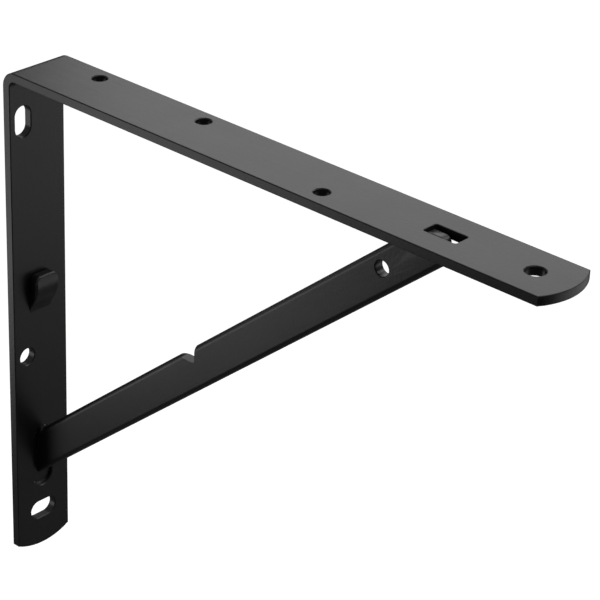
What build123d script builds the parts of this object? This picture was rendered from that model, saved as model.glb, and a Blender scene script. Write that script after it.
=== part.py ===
"""Shelf bracket of steel bar: a bent strap with a raised hook, and the diagonal brace that plugs into it.

Lengths are millimetres. X runs out from the wall, Y along the wall, Z up. The origin lies on the wall face of the
strap, half way along its width and half way down its height.
"""

import os
from math import acos, atan2, cos, hypot, radians, sin, sqrt

from build123d import *

# Strap
SHELF_REACH = 300.0  # wall face to the tip of the shelf leg
WALL_DROP = 250.0  # shelf face to the tip of the wall leg
STRAP_WIDTH = 32.0
STRAP_THICK = 4.3
BEND_OUTER_RADIUS = 7.5
SHELF_END_RISE = 4.7  # height of the arc that closes the shelf leg
WALL_END_RISE = 3.9  # height of the arc that closes the wall leg
STRAP_EDGE_ROUND = 0.45
RIM_BREAK = 0.4  # small chamfer round every opening

# Shelf leg: screw holes, given as distance from the wall and offset from the middle of the strap
SCREW_HOLE_DIA = 7.0
FIRST_HOLE_X = 36.1
ROW_PITCH = 63.6
ROW_OFFSET = 8.3
THIRD_HOLE_X = 180.7
THIRD_HOLE_OFFSET = -7.1
TIP_HOLE_X = 281.8
TIP_HOLE_DIA = 8.5

# Shelf leg: window for the nose of the brace
WINDOW_START_X = 230.3
WINDOW_LENGTH = 16.2
WINDOW_WIDTH = 8.0
WINDOW_CORNER_RADIUS = 1.0

# Wall leg: openings, given as drop below the shelf face and offset from the middle of the strap
WALL_ROW_OFFSET = -8.2
HIGH_SLOT_DROP = 25.8
HIGH_SLOT_WIDTH = 9.0
HIGH_SLOT_HEIGHT = 15.0
WALL_HOLE_DROP = 144.5
WALL_HOLE_DIA = 8.5
HEEL_SLOT_TOP_DROP = 185.0
HEEL_SLOT_FOOT_DROP = 217.4
HEEL_SLOT_WIDTH = 11.6
LOW_SLOT_DROP = 230.7
LOW_SLOT_LENGTH = 15.0
LOW_SLOT_HEIGHT = 9.0

# Hook that stands out of the wall leg
HOOK_WIDTH = 13.4
HOOK_THICK = 4.0
HOOK_PROUD = 5.7  # front of the hook ahead of the strap's inner face
HOOK_ROOT_DROP = 121.0
HOOK_KNEE_RISE = 8.0  # height over which the hook slants outwards
HOOK_FINGER = 10.5  # upright length above the knee
HOOK_ROOT_RADIUS = 4.0
HOOK_KNEE_RADIUS = 5.0
HOOK_BACK_RADIUS = 1.5
HOOK_CORNER_RADIUS = 3.2
HOOK_EDGE_ROUND = 0.8

# Brace
BRACE_DEPTH = 18.0
BRACE_THICK = 5.0
BRACE_EDGE_ROUND = 2.4
SEAT_GAP = 0.3  # clearance of the brace to the wall, the slot and the shelf leg
HEEL_RADIUS = 3.3
HEEL_TOP_GAP = 0.6  # room above the heel for it to turn in its slot
HEEL_FLANK_X = 22.0  # where the flank of the heel runs into the lower edge of the bar
NOSE_SETBACK = 1.1  # clearance of the nose to the window's inner end
NOSE_LENGTH = 8.8
NOSE_TOP_DROP = 1.2
NOSE_LEAD_RADIUS = 3.1
NOSE_EDGE_ROUND = 1.0
NOTCH_HEIGHT = 8.5
NOTCH_WALL_X = 107.0
NOTCH_CORNER_RADIUS = 1.2
BRACE_HOLE_X = 209.6
BRACE_HOLE_LIFT = 1.5  # above the middle line of the brace
BRACE_HOLE_DIA = 7.0

# Derived
SHELF_FACE_Z = WALL_DROP / 2
WALL_TIP_Z = -WALL_DROP / 2
HALF_WIDTH = STRAP_WIDTH / 2
UNDERSIDE_Z = SHELF_FACE_Z - STRAP_THICK
ALL_THROUGH = 2 * SHELF_REACH  # long enough to pass any piece whole
FLARE_ANGLE = 45.0
SLOPE_PASSES = 20  # the slope and the foot of the brace settle on each other
RIGHT_ANGLE = 90.0
SLOT_SAG = HEEL_SLOT_WIDTH / 2 - sqrt((HEEL_SLOT_WIDTH / 2) ** 2 - (BRACE_THICK / 2) ** 2)
TENON_TOP_Z = SHELF_FACE_Z - HEEL_SLOT_TOP_DROP - SLOT_SAG - HEEL_TOP_GAP
NOSE_START_X = WINDOW_START_X + NOSE_SETBACK
SHOULDER_Z = UNDERSIDE_Z - SEAT_GAP


def level(drop):
    """Height of a point that lies the given drop below the shelf face."""
    return SHELF_FACE_Z - drop


def side_slab(points, thick, middle_y=0.0):
    """Flat piece of the given thickness from an outline of (X, Z) points, centred on the given Y."""
    outline = make_face(Polyline(*points, close=True))
    return Plane(origin=(0, middle_y, 0), x_dir=(1, 0, 0), z_dir=(0, -1, 0)) * extrude(
        outline, amount=thick / 2, both=True
    )


def end_cap(length, rise):
    """Outline of a leg seen square on: straight sides, closed by a shallow arc at +X."""
    corner_x = length - rise
    start_x = corner_x - ALL_THROUGH
    sides = Polyline((corner_x, HALF_WIDTH), (start_x, HALF_WIDTH), (start_x, -HALF_WIDTH), (corner_x, -HALF_WIDTH))
    tip = ThreePointArc((corner_x, -HALF_WIDTH), (length, 0), (corner_x, HALF_WIDTH))
    return make_face(sides + tip)


def rim_cutter(outline):
    """Cutter for an opening through a plate that lies between Z = 0 and Z = -STRAP_THICK, with both rims broken."""
    straight = Pos(0, 0, -2 * STRAP_THICK) * extrude(outline, amount=3 * STRAP_THICK)
    flare = extrude(outline, amount=2 * RIM_BREAK, taper=-FLARE_ANGLE)
    lower = Pos(0, 0, -STRAP_THICK) * mirror(Pos(0, 0, -RIM_BREAK) * flare, about=Plane.XY)
    return straight + Pos(0, 0, -RIM_BREAK) * flare + lower


def on_shelf(cutter, x, offset_y=0.0):
    """Place a cutter in the shelf leg."""
    return Pos(x, offset_y, SHELF_FACE_Z) * cutter


def on_wall(cutter, drop, offset_y=0.0):
    """Place a cutter in the wall leg; the cutter's own X ends up pointing down."""
    inner_face = Plane(origin=(STRAP_THICK, offset_y, level(drop)), x_dir=(0, 0, -1), z_dir=(1, 0, 0))
    return inner_face * cutter


def strap_blank():
    """The bar bent to a right angle, with its two rounded ends and softened long edges."""
    outline = Polyline(
        (0, -WALL_DROP),
        (0, SHELF_FACE_Z),
        (SHELF_REACH, SHELF_FACE_Z),
        (SHELF_REACH, UNDERSIDE_Z),
        (STRAP_THICK, UNDERSIDE_Z),
        (STRAP_THICK, -WALL_DROP),
        close=True,
    )
    face = make_face(outline)
    outer = [v for v in face.vertices() if v.X < STRAP_EDGE_ROUND and v.Y > UNDERSIDE_Z]
    face = fillet(outer, BEND_OUTER_RADIUS)
    inner = face.vertices().sort_by_distance((STRAP_THICK, UNDERSIDE_Z, 0))[:1]
    face = fillet(inner, BEND_OUTER_RADIUS - STRAP_THICK)
    bar = Plane(origin=(0, 0, 0), x_dir=(1, 0, 0), z_dir=(0, -1, 0)) * extrude(face, amount=STRAP_WIDTH, both=True)
    shelf_view = Pos(0, 0, -ALL_THROUGH / 2) * extrude(end_cap(SHELF_REACH, SHELF_END_RISE), amount=ALL_THROUGH)
    wall_plane = Plane(origin=(-ALL_THROUGH / 2, 0, 0), x_dir=(0, 0, -1), z_dir=(1, 0, 0))
    wall_view = wall_plane * extrude(end_cap(-WALL_TIP_Z, WALL_END_RISE), amount=ALL_THROUGH)
    bar = bar & shelf_view & wall_view
    long_edges = [e for e in bar.edges() if e.length > STRAP_THICK * 1.01 or e.geom_type != GeomType.LINE]
    return fillet(long_edges, STRAP_EDGE_ROUND)


def raised_hook():
    """Tongue on the wall leg: root, slanting knee and upright finger, open at the top."""
    front_x = STRAP_THICK + HOOK_PROUD
    back_x = front_x - HOOK_THICK
    slant = hypot(HOOK_PROUD, HOOK_KNEE_RISE)
    steep = HOOK_KNEE_RISE / HOOK_PROUD
    root = level(HOOK_ROOT_DROP)
    knee = root + HOOK_KNEE_RISE
    tip = knee + HOOK_FINGER
    foot = root - HOOK_ROOT_RADIUS
    near_x = STRAP_THICK - HOOK_THICK * HOOK_KNEE_RISE / slant
    near_z = root + HOOK_THICK * HOOK_PROUD / slant
    inside_x = STRAP_THICK / 2
    points = [
        (inside_x, foot),
        (inside_x, near_z + (inside_x - near_x) * steep),
        (back_x, near_z + (back_x - near_x) * steep),
        (back_x, tip),
        (front_x, tip),
        (front_x, knee),
        (STRAP_THICK, root),
        (STRAP_THICK, foot),
    ]
    face = make_face(Polyline(*points, close=True))
    for index, radius in ((6, HOOK_ROOT_RADIUS), (5, HOOK_KNEE_RADIUS), (2, HOOK_BACK_RADIUS)):
        corner = face.vertices().sort_by_distance((*points[index], 0))[:1]
        face = fillet(corner, radius)
    plane = Plane(origin=(0, 0, 0), x_dir=(1, 0, 0), z_dir=(0, -1, 0))
    hook = plane * extrude(face, amount=HOOK_WIDTH / 2, both=True)
    top_corners = hook.edges().filter_by(Axis.X).group_by(Axis.Z)[-1]
    hook = fillet(top_corners, HOOK_CORNER_RADIUS)
    rim = hook.faces().sort_by(Axis.X)[-1].edges().filter_by(lambda e: e.length > HOOK_EDGE_ROUND)
    rim = rim.filter_by(lambda e: e.center().Z > knee + HOOK_EDGE_ROUND)
    return fillet(rim, HOOK_EDGE_ROUND)


def make_strap():
    """The bent strap with its screw holes, slots, window and hook."""
    strap = strap_blank()
    screw_hole = rim_cutter(Circle(SCREW_HOLE_DIA / 2))
    strap -= on_shelf(screw_hole, FIRST_HOLE_X, ROW_OFFSET)
    strap -= on_shelf(screw_hole, FIRST_HOLE_X + ROW_PITCH, ROW_OFFSET)
    strap -= on_shelf(screw_hole, THIRD_HOLE_X, THIRD_HOLE_OFFSET)
    strap -= on_shelf(rim_cutter(Circle(TIP_HOLE_DIA / 2)), TIP_HOLE_X)
    window = RectangleRounded(WINDOW_LENGTH, WINDOW_WIDTH, WINDOW_CORNER_RADIUS)
    strap -= on_shelf(rim_cutter(window), WINDOW_START_X + WINDOW_LENGTH / 2)
    high_slot = SlotOverall(HIGH_SLOT_HEIGHT, HIGH_SLOT_WIDTH)
    strap -= on_wall(rim_cutter(high_slot), HIGH_SLOT_DROP, WALL_ROW_OFFSET)
    strap -= on_wall(rim_cutter(Circle(WALL_HOLE_DIA / 2)), WALL_HOLE_DROP, WALL_ROW_OFFSET)
    heel_slot = SlotOverall(HEEL_SLOT_FOOT_DROP - HEEL_SLOT_TOP_DROP, HEEL_SLOT_WIDTH)
    strap -= on_wall(rim_cutter(heel_slot), (HEEL_SLOT_FOOT_DROP + HEEL_SLOT_TOP_DROP) / 2)
    low_slot = SlotOverall(LOW_SLOT_LENGTH, LOW_SLOT_HEIGHT, rotation=RIGHT_ANGLE)
    strap -= on_wall(rim_cutter(low_slot), LOW_SLOT_DROP)
    return strap + raised_hook()


def brace_lines():
    """Slope of the brace and the height, above any X, of its middle line."""
    middle_x = NOSE_START_X + NOSE_LENGTH / 2
    run = middle_x - STRAP_THICK
    slope = 0.0
    foot_z = TENON_TOP_Z
    for _ in range(SLOPE_PASSES):
        slope = atan2(SHOULDER_Z - foot_z, run)
        foot_z = TENON_TOP_Z - BRACE_DEPTH / 2 / cos(slope)
    return slope, lambda x: foot_z + (x - STRAP_THICK) * sin(slope) / cos(slope)


def brace_blank():
    """Bar on edge with full-round long edges, and the square-edged heel that stands in the slot of the wall leg."""
    slope, middle_z = brace_lines()
    half = BRACE_DEPTH / 2 / cos(slope)
    heel_x = SEAT_GAP + HEEL_RADIUS
    heel_z = level(HEEL_SLOT_FOOT_DROP) + SLOT_SAG + SEAT_GAP + HEEL_RADIUS
    flank_z = middle_z(HEEL_FLANK_X) - half
    reach = hypot(HEEL_FLANK_X - heel_x, flank_z - heel_z)
    turn = atan2(flank_z - heel_z, HEEL_FLANK_X - heel_x) - acos(HEEL_RADIUS / reach)
    down = turn / 2 - radians(RIGHT_ANGLE)
    touch = (heel_x + HEEL_RADIUS * cos(turn), heel_z + HEEL_RADIUS * sin(turn))
    sole_middle = (heel_x + HEEL_RADIUS * cos(down), heel_z + HEEL_RADIUS * sin(down))
    far_x = SHELF_REACH
    edge = Polyline(
        touch,
        (HEEL_FLANK_X, flank_z),
        (far_x, middle_z(far_x) - half),
        (far_x, middle_z(far_x) + half),
        (STRAP_THICK, TENON_TOP_Z),
        (SEAT_GAP, TENON_TOP_Z),
        (SEAT_GAP, heel_z),
    )
    sole = ThreePointArc((SEAT_GAP, heel_z), sole_middle, touch)
    face = make_face(edge + sole)
    face = fillet(face.vertices().sort_by_distance((HEEL_FLANK_X, flank_z, 0))[:1], HEEL_FLANK_X / 2)
    plane = Plane(origin=(0, 0, 0), x_dir=(1, 0, 0), z_dir=(0, -1, 0))
    square = plane * extrude(face, amount=BRACE_THICK / 2, both=True)
    rim = square.edges().filter_by(Axis.Y, reverse=True)
    rim = rim.filter_by(lambda e: STRAP_THICK < e.center().X < far_x - STRAP_THICK)
    rounded = fillet(rim, BRACE_EDGE_ROUND)
    in_slot = Pos(STRAP_THICK - SHELF_REACH / 2, 0, 0) * Box(SHELF_REACH, STRAP_WIDTH, 2 * WALL_DROP)
    return (rounded - in_slot) + (square & in_slot)


def make_brace():
    """The brace: bar cut off level under the shelf leg, with its nose, notch and hole."""
    brace = brace_blank()
    slope, middle_z = brace_lines()
    half = BRACE_DEPTH / 2 / cos(slope)
    shoulder_z = SHOULDER_Z
    above = Pos(SHELF_REACH / 2, 0, shoulder_z + WALL_DROP / 2) * Box(2 * SHELF_REACH, STRAP_WIDTH, WALL_DROP)
    brace -= above
    nose_top = level(NOSE_TOP_DROP)
    nose_end_x = NOSE_START_X + NOSE_LENGTH
    nose = side_slab(
        [
            (NOSE_START_X, shoulder_z - STRAP_THICK),
            (nose_end_x, shoulder_z - STRAP_THICK),
            (nose_end_x, nose_top),
            (NOSE_START_X, nose_top),
        ],
        BRACE_THICK,
    )
    nose = fillet(nose.edges().filter_by(Axis.Y).sort_by_distance((nose_end_x, 0, nose_top))[:1], NOSE_LEAD_RADIUS)
    crown = nose.edges().filter_by(Axis.Y, reverse=True).filter_by(lambda e: e.center().Z > shoulder_z)
    nose = fillet(crown, NOSE_EDGE_ROUND)
    brace += nose
    notch_floor = middle_z(NOTCH_WALL_X) + half - NOTCH_HEIGHT
    notch = side_slab(
        [
            (NOTCH_WALL_X - 2 * BRACE_DEPTH, notch_floor),
            (NOTCH_WALL_X, notch_floor),
            (NOTCH_WALL_X, notch_floor + 2 * BRACE_DEPTH),
            (NOTCH_WALL_X - 2 * BRACE_DEPTH, notch_floor + 2 * BRACE_DEPTH),
        ],
        2 * BRACE_THICK,
    )
    corner = notch.edges().filter_by(Axis.Y).sort_by_distance((NOTCH_WALL_X, 0, notch_floor))[:1]
    brace -= fillet(corner, NOTCH_CORNER_RADIUS)
    hole_plane = Plane(origin=(BRACE_HOLE_X, 0, middle_z(BRACE_HOLE_X) + BRACE_HOLE_LIFT), x_dir=(1, 0, 0), z_dir=(0, -1, 0))
    hole = hole_plane * extrude(Circle(BRACE_HOLE_DIA / 2), amount=BRACE_THICK, both=True)
    brace -= hole
    rims = [
        e
        for e in brace.edges().filter_by(GeomType.CIRCLE)
        if abs(e.radius - BRACE_HOLE_DIA / 2) < RIM_BREAK / 2 and abs(e.arc_center.X - BRACE_HOLE_X) < RIM_BREAK
    ]
    return chamfer(rims, RIM_BREAK)


os.makedirs("parts", exist_ok=True)
export_step(make_strap(), "parts/bent_strap.step")
export_step(make_brace(), "parts/diagonal_brace.step")
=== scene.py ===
import math

import bmesh
import bpy
from mathutils import Matrix, Vector


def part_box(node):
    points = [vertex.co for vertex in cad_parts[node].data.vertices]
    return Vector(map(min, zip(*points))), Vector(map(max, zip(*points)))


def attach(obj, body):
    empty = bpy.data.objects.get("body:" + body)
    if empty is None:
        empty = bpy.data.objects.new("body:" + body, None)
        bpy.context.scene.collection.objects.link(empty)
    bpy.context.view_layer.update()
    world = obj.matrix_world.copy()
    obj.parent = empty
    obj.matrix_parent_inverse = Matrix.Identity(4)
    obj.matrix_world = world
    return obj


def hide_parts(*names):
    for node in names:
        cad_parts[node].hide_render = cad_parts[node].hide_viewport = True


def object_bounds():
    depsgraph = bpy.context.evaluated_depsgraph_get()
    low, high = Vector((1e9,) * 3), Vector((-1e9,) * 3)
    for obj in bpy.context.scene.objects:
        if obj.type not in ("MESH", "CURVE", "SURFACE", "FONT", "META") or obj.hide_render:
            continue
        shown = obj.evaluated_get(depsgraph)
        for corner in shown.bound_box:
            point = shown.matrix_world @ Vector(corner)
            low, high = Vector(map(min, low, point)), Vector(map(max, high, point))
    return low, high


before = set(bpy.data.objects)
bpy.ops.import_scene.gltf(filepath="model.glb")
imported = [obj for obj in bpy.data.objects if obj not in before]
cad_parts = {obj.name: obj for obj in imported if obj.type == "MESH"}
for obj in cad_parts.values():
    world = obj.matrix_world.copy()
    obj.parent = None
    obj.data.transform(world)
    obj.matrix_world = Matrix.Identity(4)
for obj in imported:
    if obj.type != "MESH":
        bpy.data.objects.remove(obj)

CAD_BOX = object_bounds()

# Camera (angles in degrees, lens and sensor in millimetres, the rest in metres)
CAMERA_AZIMUTH = 42.19
CAMERA_ELEVATION = 27.46
CAMERA_ROLL = 2.05
CAMERA_DISTANCE = 1.0654
CAMERA_AIM_RIGHT = -0.1234
CAMERA_AIM_UP = 0.0995
SENSOR_WIDTH = 36.0
LENS = 146.58
SHIFT_X = 0.0248
SHIFT_Y = -0.0042
NEAREST_SEEN = 0.01
FARTHEST_SEEN = 100

# Foot of the brace, spread to fill its slot
TONGUE_HALF_WIDTH = 0.0055
TONGUE_FRONT_X = 0.0026
TONGUE_TOP_Z = -0.0606
TONGUE_SOLE_EASE = 0.0003
TONGUE_LEAST_HALF = 0.0001
TONGUE_ROWS = 14
TONGUE_FIRST_ROW = 4  # the rows above it are left off, so the top is blunt
HEEL_RADIUS = 0.0033

# Bar of the brace: its plain length is kept from the cut on, and carried on straight to the slot
BAR_CUT_X = 0.055
BAR_EXTRA = 0.09
BAR_END_X = 0.0016

# Lip of the hook on the wall leg: straight from its root, then curving upright, then leaning back
LEG_FACE_X = 0.0043
HOOK_HALF_WIDTH = 0.0068
HOOK_FRONT_X = 0.0100
HOOK_ROOT_Z = 0.004
HOOK_KNEE_Z = 0.012
HOOK_TOP_Z = 0.0225
HOOK_OLD_RADIUS = 0.005
HOOK_OLD_ARC_LEAD = 0.0013
HOOK_OLD_UPRIGHT_Z = 0.0136
LIP_CURVE_Z = 0.009
LIP_CREST_Z = 0.017
LIP_BACK_RADIUS = 0.015
LIP_STEP = 0.0008
LIP_FADE_DEPTH = 0.0012  # the change of form fades in over this depth from the leg's face
LIP_TOP_MARGIN = 1e-5

# Meshes
WELD_DISTANCE = 1e-6
FLAT_ANGLE = 0.3
SHARP_ANGLE = 32

# Coat
PEEL_SCALE = 900.0
PEEL_DETAIL = 2.0
PEEL_STRENGTH = 0.35
PEEL_HEIGHT = 0.00008
CLOUD_SCALE = 28.0
CLOUD_DETAIL = 3.0
CLOUD_ON_TONE = 0.003
CLOUD_ON_GLOSS = 0.06
ROLLED_SCALE = (12.0, 900.0, 12.0)
ROLLED_DETAIL = 2.0
COAT_IOR = 1.5
COAT_TONE = 0.007
BRACE_GLOSS = 0.33
STRAP_GLOSS = 0.31
STRAP_ROLLING = 0.05

# Room
FLOOR_DROP = 0.32
FLOOR_SIZE = 60.0
FLOOR_SHADE = 0.6
FLOOR_GLOW = 0.9
FLOOR_DIM_SHADE = 0.22
AIR_HEIGHTS = (-0.1, 1.0)
AIR_STRENGTHS = (0.12, 0.21)
RIGHT_SHEET_AIM_DROP = 0.06


def new_material(name):
    """An empty node material, its node tree and its output node."""
    mat = bpy.data.materials.new(name)
    mat.use_nodes = True
    nodes = mat.node_tree.nodes
    nodes.clear()
    out = nodes.new("ShaderNodeOutputMaterial")
    return mat, mat.node_tree, out


def powder_texture():
    """Shared effects of the coat: fine orange peel, faint clouding and the steel's lengthwise grain."""
    group = bpy.data.node_groups.new("powder_texture", "ShaderNodeTree")
    face = group.interface
    for name, kind, default in (
        ("Scale", "NodeSocketFloat", PEEL_SCALE),
        ("Tone", "NodeSocketFloat", 0.03),
        ("Gloss", "NodeSocketFloat", 0.45),
        ("Rolling", "NodeSocketFloat", 0.0),
    ):
        face.new_socket(name=name, in_out="INPUT", socket_type=kind).default_value = default
    face.new_socket(name="Color", in_out="OUTPUT", socket_type="NodeSocketColor")
    face.new_socket(name="Roughness", in_out="OUTPUT", socket_type="NodeSocketFloat")
    face.new_socket(name="Height", in_out="OUTPUT", socket_type="NodeSocketFloat")
    n, link = group.nodes, group.links.new
    inp, out = n.new("NodeGroupInput"), n.new("NodeGroupOutput")
    coord = n.new("ShaderNodeTexCoord")

    peel = n.new("ShaderNodeTexNoise")
    peel.inputs["Detail"].default_value = PEEL_DETAIL
    link(coord.outputs["Object"], peel.inputs["Vector"])
    link(inp.outputs["Scale"], peel.inputs["Scale"])

    cloud = n.new("ShaderNodeTexNoise")
    cloud.inputs["Scale"].default_value = CLOUD_SCALE
    cloud.inputs["Detail"].default_value = CLOUD_DETAIL
    link(coord.outputs["Object"], cloud.inputs["Vector"])

    tone = n.new("ShaderNodeMath")
    tone.operation = "MULTIPLY_ADD"
    tone.inputs[1].default_value = CLOUD_ON_TONE
    link(cloud.outputs["Fac"], tone.inputs[0])
    link(inp.outputs["Tone"], tone.inputs[2])
    link(tone.outputs["Value"], out.inputs["Color"])

    gloss = n.new("ShaderNodeMath")
    gloss.operation = "MULTIPLY_ADD"
    gloss.inputs[1].default_value = CLOUD_ON_GLOSS
    link(cloud.outputs["Fac"], gloss.inputs[0])
    link(inp.outputs["Gloss"], gloss.inputs[2])

    lay = n.new("ShaderNodeMapping")
    lay.inputs["Scale"].default_value = ROLLED_SCALE
    rolled = n.new("ShaderNodeTexNoise")
    rolled.inputs["Scale"].default_value = 1.0
    rolled.inputs["Detail"].default_value = ROLLED_DETAIL
    link(coord.outputs["Object"], lay.inputs["Vector"])
    link(lay.outputs["Vector"], rolled.inputs["Vector"])
    streak = n.new("ShaderNodeMath")
    streak.operation = "MULTIPLY_ADD"
    link(rolled.outputs["Fac"], streak.inputs[0])
    link(inp.outputs["Rolling"], streak.inputs[1])
    link(gloss.outputs["Value"], streak.inputs[2])
    link(streak.outputs["Value"], out.inputs["Roughness"])
    link(peel.outputs["Fac"], out.inputs["Height"])
    return group


def coat_material(name, tone, gloss, rolling):
    """Satin black powder coat on steel; rolling is how much the steel's lengthwise grain shows through."""
    mat, tree, out = new_material(name)
    n, link = tree.nodes, tree.links.new
    shader = n.new("ShaderNodeBsdfPrincipled")
    shader.inputs["IOR"].default_value = COAT_IOR
    grain = n.new("ShaderNodeGroup")
    grain.node_tree = POWDER
    grain.inputs["Tone"].default_value = tone
    grain.inputs["Gloss"].default_value = gloss
    grain.inputs["Rolling"].default_value = rolling
    bump = n.new("ShaderNodeBump")
    bump.inputs["Strength"].default_value = PEEL_STRENGTH
    bump.inputs["Distance"].default_value = PEEL_HEIGHT
    link(grain.outputs["Color"], shader.inputs["Base Color"])
    link(grain.outputs["Roughness"], shader.inputs["Roughness"])
    link(grain.outputs["Height"], bump.inputs["Height"])
    link(bump.outputs["Normal"], shader.inputs["Normal"])
    link(shader.outputs["BSDF"], out.inputs["Surface"])
    return mat


def floor_material():
    """Plain pale floor: white to the eye, dim in the reflections on the coat."""
    mat, tree, out = new_material("pale_floor")
    n, link = tree.nodes, tree.links.new
    matt = n.new("ShaderNodeBsdfDiffuse")
    matt.inputs["Color"].default_value = (FLOOR_SHADE, FLOOR_SHADE, FLOOR_SHADE, 1)
    dim = n.new("ShaderNodeBsdfDiffuse")
    dim.inputs["Color"].default_value = (FLOOR_DIM_SHADE, FLOOR_DIM_SHADE, FLOOR_DIM_SHADE, 1)
    glow = n.new("ShaderNodeEmission")
    glow.inputs["Color"].default_value = (1, 1, 1, 1)
    glow.inputs["Strength"].default_value = FLOOR_GLOW
    lit = n.new("ShaderNodeAddShader")
    path = n.new("ShaderNodeLightPath")
    mix = n.new("ShaderNodeMixShader")
    link(matt.outputs["BSDF"], lit.inputs[0])
    link(glow.outputs["Emission"], lit.inputs[1])
    link(path.outputs["Is Camera Ray"], mix.inputs["Fac"])
    link(dim.outputs["BSDF"], mix.inputs[1])
    link(lit.outputs["Shader"], mix.inputs[2])
    link(mix.outputs["Shader"], out.inputs["Surface"])
    return mat


def world_light():
    """Soft studio air, brighter overhead than at the horizon, and pure white where the camera sees it."""
    world = bpy.data.worlds.new("studio_air")
    bpy.context.scene.world = world
    world.use_nodes = True
    tree = world.node_tree
    tree.nodes.clear()
    n, link = tree.nodes, tree.links.new
    out = n.new("ShaderNodeOutputWorld")
    coord = n.new("ShaderNodeTexCoord")
    split = n.new("ShaderNodeSeparateXYZ")
    ramp = n.new("ShaderNodeMapRange")
    ramp.inputs["From Min"].default_value = AIR_HEIGHTS[0]
    ramp.inputs["From Max"].default_value = AIR_HEIGHTS[1]
    ramp.inputs["To Min"].default_value = AIR_STRENGTHS[0]
    ramp.inputs["To Max"].default_value = AIR_STRENGTHS[1]
    air = n.new("ShaderNodeBackground")
    air.inputs["Color"].default_value = (1, 1, 1, 1)
    white = n.new("ShaderNodeBackground")
    white.inputs["Color"].default_value = (1, 1, 1, 1)
    white.inputs["Strength"].default_value = 1.0
    path = n.new("ShaderNodeLightPath")
    mix = n.new("ShaderNodeMixShader")
    link(coord.outputs["Generated"], split.inputs["Vector"])
    link(split.outputs["Z"], ramp.inputs["Value"])
    link(ramp.outputs["Result"], air.inputs["Strength"])
    link(path.outputs["Is Camera Ray"], mix.inputs["Fac"])
    link(air.outputs["Background"], mix.inputs[1])
    link(white.outputs["Background"], mix.inputs[2])
    link(mix.outputs["Shader"], out.inputs["Surface"])


def soft_box(name, aim, towards, distance, width, height, glow):
    """Rectangular studio light seen from its aim in the given direction; glow is its surface brightness."""
    light = bpy.data.lights.new(name, "AREA")
    light.shape = "RECTANGLE"
    light.size = width
    light.size_y = height
    light.energy = glow * math.pi * width * height
    lamp = bpy.data.objects.new(name, light)
    bpy.context.scene.collection.objects.link(lamp)
    lamp.location = Vector(aim) + Vector(towards).normalized() * distance
    lamp.rotation_mode = "QUATERNION"
    lamp.rotation_quaternion = (Vector(aim) - lamp.location).to_track_quat("-Z", "Y")
    lamp.visible_camera = False


def place_camera(anchor):
    """Camera at its distance from the anchor, with the anchor off centre as set above."""
    azimuth, elevation, roll = (math.radians(v) for v in (CAMERA_AZIMUTH, CAMERA_ELEVATION, CAMERA_ROLL))
    level = math.cos(elevation)
    back = Vector((math.sin(azimuth) * level, -math.cos(azimuth) * level, math.sin(elevation)))
    level_right = Vector((math.cos(azimuth), math.sin(azimuth), 0))
    level_up = back.cross(level_right)
    right = level_right * math.cos(roll) + level_up * math.sin(roll)
    up = level_up * math.cos(roll) - level_right * math.sin(roll)
    data = bpy.data.cameras.new("camera")
    data.sensor_width = SENSOR_WIDTH
    data.lens = LENS
    data.shift_x = SHIFT_X
    data.shift_y = SHIFT_Y
    data.clip_start = NEAREST_SEEN
    data.clip_end = FARTHEST_SEEN
    cam = bpy.data.objects.new("camera", data)
    bpy.context.scene.collection.objects.link(cam)
    cam.rotation_mode = "QUATERNION"
    cam.rotation_quaternion = Matrix((right, up, back)).transposed().to_quaternion()
    cam.location = anchor + back * CAMERA_DISTANCE - right * CAMERA_AIM_RIGHT - up * CAMERA_AIM_UP
    bpy.context.scene.camera = cam


def make_floor(height):
    """Large plain floor under the bracket."""
    half = FLOOR_SIZE / 2
    corners = [(-half, -half, 0), (half, -half, 0), (half, half, 0), (-half, half, 0)]
    mesh = bpy.data.meshes.new("floor")
    mesh.from_pydata(corners, [], [(0, 1, 2, 3)])
    floor = bpy.data.objects.new("floor", mesh)
    floor.location = (0, 0, height)
    floor.data.materials.append(floor_material())
    bpy.context.scene.collection.objects.link(floor)


def dress(node, material):
    """Give a solid its finish."""
    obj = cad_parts[node]
    obj.data.materials.clear()
    obj.data.materials.append(material)


def solid_skin(node):
    """A solid's surface, ready to edit, with its corners joined."""
    skin = bmesh.new()
    skin.from_mesh(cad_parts[node].data)
    bmesh.ops.remove_doubles(skin, verts=skin.verts, dist=WELD_DISTANCE)
    return skin


def keep_skin(skin, name):
    """The edited surface as a mesh."""
    mesh = bpy.data.meshes.new(name)
    skin.to_mesh(mesh)
    skin.free()
    return mesh


def cut_away(skin, point, normal):
    """Cut the surface by a plane, drop what lies behind it and return the edges of the cut."""
    whole = skin.verts[:] + skin.edges[:] + skin.faces[:]
    cut = bmesh.ops.bisect_plane(skin, geom=whole, plane_co=point, plane_no=normal, clear_inner=True)
    return [e for e in cut["geom_cut"] if isinstance(e, bmesh.types.BMEdge)]


def straight_bar_mesh(node):
    """The brace's skin with its bar carried straight on to the slot, in place of the flared heel."""
    skin = solid_skin(node)
    longest = max(skin.edges, key=lambda e: e.calc_length())
    along = (longest.verts[1].co - longest.verts[0].co).normalized()
    if along.x < 0:
        along.negate()
    rim = cut_away(skin, (BAR_CUT_X, 0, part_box(node)[0].z), along)
    longer = bmesh.ops.extrude_edge_only(skin, edges=rim)
    ends = [v for v in longer["geom"] if isinstance(v, bmesh.types.BMVert)]
    bmesh.ops.translate(skin, verts=ends, vec=-along * BAR_EXTRA)
    rim = cut_away(skin, (BAR_END_X, 0, 0), (1, 0, 0))
    bmesh.ops.contextual_create(skin, geom=rim)
    bmesh.ops.recalc_face_normals(skin, faces=skin.faces)
    return keep_skin(skin, node + "_skin")


def join_flats(skin):
    """Dissolve the edges inside each flat, so that a flat is one face and shades as one."""
    bmesh.ops.dissolve_limit(skin, angle_limit=math.radians(FLAT_ANGLE), verts=skin.verts, edges=skin.edges)


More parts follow.
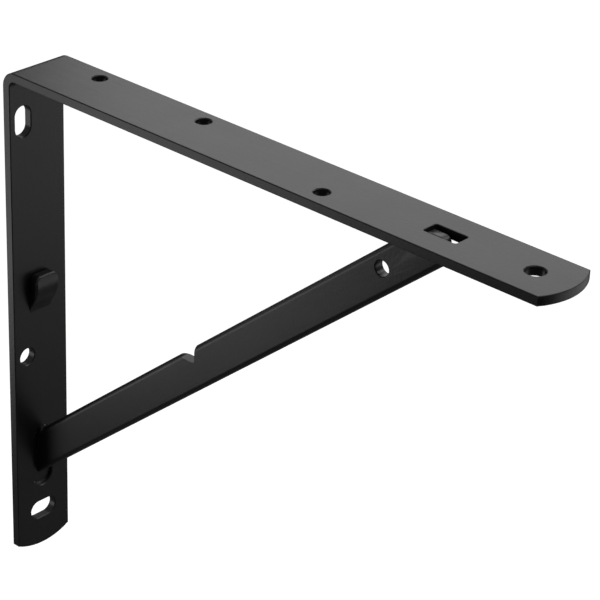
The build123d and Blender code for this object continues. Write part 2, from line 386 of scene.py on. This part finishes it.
def hook_front(z):
    """Front of the solid's hook at a height: a straight slant, a short arc and an upright."""
    if z >= HOOK_OLD_UPRIGHT_Z:
        return HOOK_FRONT_X
    below = min(HOOK_OLD_UPRIGHT_Z - z, HOOK_OLD_RADIUS)
    arc = HOOK_FRONT_X - HOOK_OLD_RADIUS + math.sqrt(HOOK_OLD_RADIUS**2 - below**2)
    slant = LEG_FACE_X + (HOOK_FRONT_X - LEG_FACE_X) * (z - HOOK_ROOT_Z) / (HOOK_KNEE_Z - HOOK_ROOT_Z)
    return min(arc, slant) if z > HOOK_KNEE_Z - HOOK_OLD_ARC_LEAD else slant


def lip_front(z):
    """Front of the curved lip at a height."""
    rise = HOOK_FRONT_X - LEG_FACE_X
    slope = rise / ((LIP_CURVE_Z - HOOK_ROOT_Z) + (LIP_CREST_Z - LIP_CURVE_Z) / 2)
    if z <= LIP_CURVE_Z:
        return LEG_FACE_X + slope * (z - HOOK_ROOT_Z)
    if z <= LIP_CREST_Z:
        run = z - LIP_CURVE_Z
        bend = slope / (LIP_CREST_Z - LIP_CURVE_Z) / 2
        return LEG_FACE_X + slope * (z - HOOK_ROOT_Z) - bend * run**2
    return HOOK_FRONT_X - (z - LIP_CREST_Z) ** 2 / (2 * LIP_BACK_RADIUS)


def on_lip(point):
    """Whether a corner of the strap belongs to the hook's lip."""
    in_height = HOOK_ROOT_Z < point.z < HOOK_TOP_Z + LIP_TOP_MARGIN
    return point.x > LEG_FACE_X and abs(point.y) < HOOK_HALF_WIDTH and in_height


def curved_hook_mesh(node):
    """The strap's skin with the hook's lip in one soft curve, in place of two flats and a short arc."""
    skin = solid_skin(node)
    z = HOOK_ROOT_Z + LIP_STEP
    while z < HOOK_TOP_Z:
        whole = skin.verts[:] + skin.edges[:] + skin.faces[:]
        bmesh.ops.bisect_plane(skin, geom=whole, plane_co=(0, 0, z), plane_no=(0, 0, 1))
        z += LIP_STEP
    for vert in skin.verts:
        point = vert.co
        if on_lip(point):
            share = min((point.x - LEG_FACE_X) / LIP_FADE_DEPTH, 1)
            point.x += share * (lip_front(point.z) - hook_front(point.z))
    join_flats(skin)
    return keep_skin(skin, node + "_skin")


def tongue_heights(upper_end, lower_end, sole_z):
    """Heights of the foot's rows: close together round its upper end, then even down to the sole."""
    rows = range(TONGUE_FIRST_ROW, TONGUE_ROWS + 1)
    turns = [math.cos(math.pi / 2 * i / TONGUE_ROWS) for i in rows]
    heights = [TONGUE_TOP_Z - TONGUE_HALF_WIDTH * (1 - turn) for turn in turns]
    return heights + [lower_end + (sole_z - lower_end) * i / TONGUE_ROWS for i in range(TONGUE_ROWS)]


def tongue_mesh(lowest):
    """The spread foot: as wide as its slot and round at both ends, with a rounded sole to turn on."""
    turn = Vector((lowest.x + HEEL_RADIUS, 0, lowest.z + HEEL_RADIUS))
    sole_z = turn.z - math.sqrt(HEEL_RADIUS**2 - (turn.x - TONGUE_FRONT_X) ** 2)
    upper_end = TONGUE_TOP_Z - TONGUE_HALF_WIDTH
    lower_end = lowest.z + TONGUE_HALF_WIDTH - TONGUE_SOLE_EASE
    skin = bmesh.new()
    rings = []
    for z in tongue_heights(upper_end, lower_end, sole_z):
        over = max(z - upper_end, lower_end - z, 0)
        half = math.sqrt(max(TONGUE_HALF_WIDTH**2 - over**2, TONGUE_LEAST_HALF**2))
        drop = max(turn.z - z, 0)
        back = turn.x - math.sqrt(HEEL_RADIUS**2 - drop**2)
        corners = ((back, -half), (back, half), (TONGUE_FRONT_X, half), (TONGUE_FRONT_X, -half))
        rings.append([skin.verts.new((x, y, z)) for x, y in corners])
    for upper, lower in zip(rings, rings[1:]):
        for i in range(4):
            j = (i + 1) % 4
            skin.faces.new((upper[i], upper[j], lower[j], lower[i]))
    skin.faces.new(rings[0])
    skin.faces.new(reversed(rings[-1]))
    bmesh.ops.recalc_face_normals(skin, faces=skin.faces)
    return keep_skin(skin, "tongue")


def add_object(name, mesh):
    """A new object in the scene from a mesh."""
    obj = bpy.data.objects.new(name, mesh)
    bpy.context.scene.collection.objects.link(obj)
    return obj


def merge(base, tool):
    """Join the tool to the base in one closed skin."""
    step = base.modifiers.new("step", "BOOLEAN")
    step.operation = "UNION"
    step.solver = "EXACT"
    step.object = tool
    shown = base.evaluated_get(bpy.context.evaluated_depsgraph_get())
    mesh = bpy.data.meshes.new_from_object(shown)
    base.modifiers.clear()
    base.data = mesh
    bpy.data.objects.remove(tool)


def finish_piece(piece, node, body, material):
    """Smooth shading with true flats, the finish, and the body that the piece moves with."""
    piece.data.shade_smooth()
    piece.data.set_sharp_from_angle(angle=math.radians(SHARP_ANGLE))
    flats = piece.modifiers.new("flat_faces", "WEIGHTED_NORMAL")
    flats.keep_sharp = True
    piece.data.materials.clear()
    piece.data.materials.append(material)
    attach(piece, body)
    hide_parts(node)


def make_brace(material):
    """The brace bar with its foot spread to fill the slot, in one piece."""
    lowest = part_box("diagonal_brace")[0]
    brace = add_object("brace_bar", straight_bar_mesh("diagonal_brace"))
    merge(brace, add_object("tongue", tongue_mesh(lowest)))
    finish_piece(brace, "diagonal_brace", "brace", material)


def make_strap(material):
    """The bent strap with its hook's curved lip."""
    strap = add_object("strap_bar", curved_hook_mesh("bent_strap"))
    finish_piece(strap, "bent_strap", "strap", material)


POWDER = powder_texture()
solid_coat = coat_material("solid_powder_coat", COAT_TONE, BRACE_GLOSS, 0.0)
dress("bent_strap", solid_coat)
dress("diagonal_brace", solid_coat)
make_strap(coat_material("strap_powder_coat", COAT_TONE, STRAP_GLOSS, STRAP_ROLLING))
make_brace(coat_material("brace_powder_coat", COAT_TONE, BRACE_GLOSS, 0.0))

low, high = CAD_BOX
middle = (low + high) / 2
place_camera(Vector((low.x, low.y, high.z)))
make_floor(low.z - FLOOR_DROP)
world_light()
soft_box("overhead_sheet", aim=(high.x, 0, high.z), towards=(-0.60, 0.66, 0.46),
         distance=0.7, width=0.54, height=0.45, glow=1.45)
soft_box("right_sheet", aim=(0, 0, middle.z - RIGHT_SHEET_AIM_DROP), towards=(0.60, 0.66, -0.30),
         distance=1.1, width=1.4, height=0.9, glow=0.8)
soft_box("back_fill", aim=middle, towards=(-1.0, -0.15, 0.25),
         distance=1.2, width=0.9, height=0.9, glow=0.35)
soft_box("left_sheet", aim=(0.02, low.y, high.z), towards=(-0.60, -0.66, -0.46),
         distance=0.5, width=0.28, height=0.28, glow=1.6)
soft_box("top_fill", aim=middle, towards=(0.3, 0.2, 1.0),
         distance=1.2, width=1.0, height=1.0, glow=0.8)
soft_box("rim_light", aim=(0, 0, middle.z), towards=(0.45, 0.66, 0.59),
         distance=0.8, width=0.30, height=0.25, glow=3.0)

bpy.context.scene.view_settings.view_transform = "Standard"
